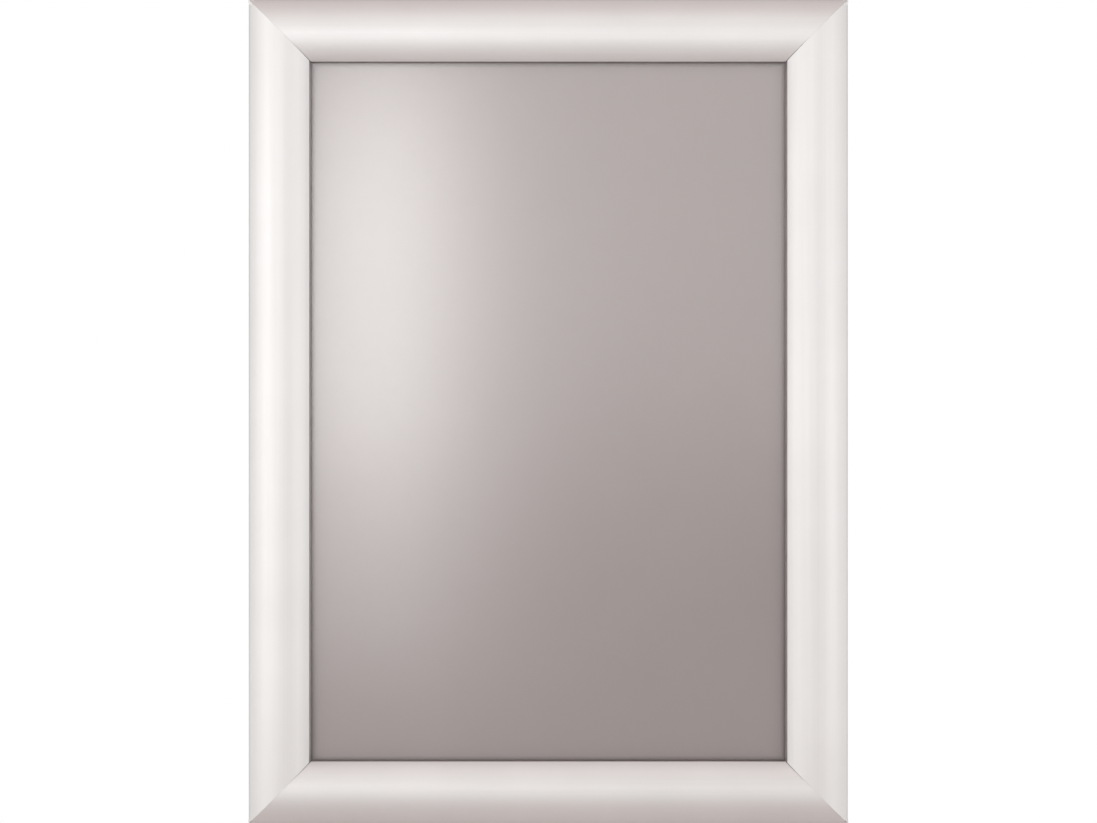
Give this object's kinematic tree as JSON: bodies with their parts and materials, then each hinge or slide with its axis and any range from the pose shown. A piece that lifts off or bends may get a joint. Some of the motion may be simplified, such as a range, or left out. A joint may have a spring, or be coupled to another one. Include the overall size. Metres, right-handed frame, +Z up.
{
  "type": "aluminium poster frame",
  "caption": "Slim wall-mounted aluminium snap frame for an A4 sheet, with mitred rounded rails that flip open, leaf springs, a clear cover and a backing panel.",
  "frame": {"origin": "middle of the frame on the wall plane, where its back rests", "axes": "+Z up the frame, +X to the right as seen from the front, +Y into the wall, so the face looks along -Y"},
  "size_m": [0.24, 0.012, 0.33],
  "materials": {
    "anodised_aluminium": "satin silver anodised",
    "base_aluminium": "plain extruded, silver",
    "zinc_steel": "zinc plated",
    "spring_steel": "blued, satin",
    "styrene": "warm grey, matt",
    "clear_sheet": "clear, anti-glare"
  },
  "bodies": {
    "base_frame": {"base_rail_top": "base_aluminium", "base_rail_bottom": "base_aluminium", "base_rail_left": "base_aluminium", "base_rail_right": "base_aluminium", "corner_key_top_left": "zinc_steel", "corner_key_top_right": "zinc_steel", "corner_key_bottom_left": "zinc_steel", "corner_key_bottom_right": "zinc_steel", "leaf_spring_top_left": "spring_steel", "leaf_spring_top_right": "spring_steel", "leaf_spring_bottom_left": "spring_steel", "leaf_spring_bottom_right": "spring_steel", "leaf_spring_left_upper": "spring_steel", "leaf_spring_left_lower": "spring_steel", "leaf_spring_right_upper": "spring_steel", "leaf_spring_right_lower": "spring_steel", "backing_panel": "styrene", "clear_cover": "clear_sheet"},
    "top_bar": {"snap_bar_top": "anodised_aluminium"},
    "bottom_bar": {"snap_bar_bottom": "anodised_aluminium"},
    "left_bar": {"snap_bar_left": "anodised_aluminium"},
    "right_bar": {"snap_bar_right": "anodised_aluminium"}
  },
  "joints": [
    {"name": "top_bar_hinge", "type": "hinge", "parent": "base_frame", "child": "top_bar", "pos_m": [0, -0.00545, 0.1624], "axis": [-1, 0, 0], "range_deg": [0, 90], "stiffness_Nm_per_rad": 0.03, "springref_deg": -57.3, "deforming": ["leaf_spring_top_left", "leaf_spring_top_right"]},
    {"name": "bottom_bar_hinge", "type": "hinge", "parent": "base_frame", "child": "bottom_bar", "pos_m": [0, -0.00545, -0.1624], "axis": [1, 0, 0], "range_deg": [0, 90], "stiffness_Nm_per_rad": 0.03, "springref_deg": -57.3, "deforming": ["leaf_spring_bottom_left", "leaf_spring_bottom_right"]},
    {"name": "left_bar_hinge", "type": "hinge", "parent": "base_frame", "child": "left_bar", "pos_m": [-0.1174, -0.00545, 0], "axis": [0, 0, -1], "range_deg": [0, 90], "stiffness_Nm_per_rad": 0.03, "springref_deg": -57.3, "deforming": ["leaf_spring_left_upper", "leaf_spring_left_lower"]},
    {"name": "right_bar_hinge", "type": "hinge", "parent": "base_frame", "child": "right_bar", "pos_m": [0.1174, -0.00545, 0], "axis": [0, 0, 1], "range_deg": [0, 90], "stiffness_Nm_per_rad": 0.03, "springref_deg": -57.3, "deforming": ["leaf_spring_right_upper", "leaf_spring_right_lower"]}
  ]
}
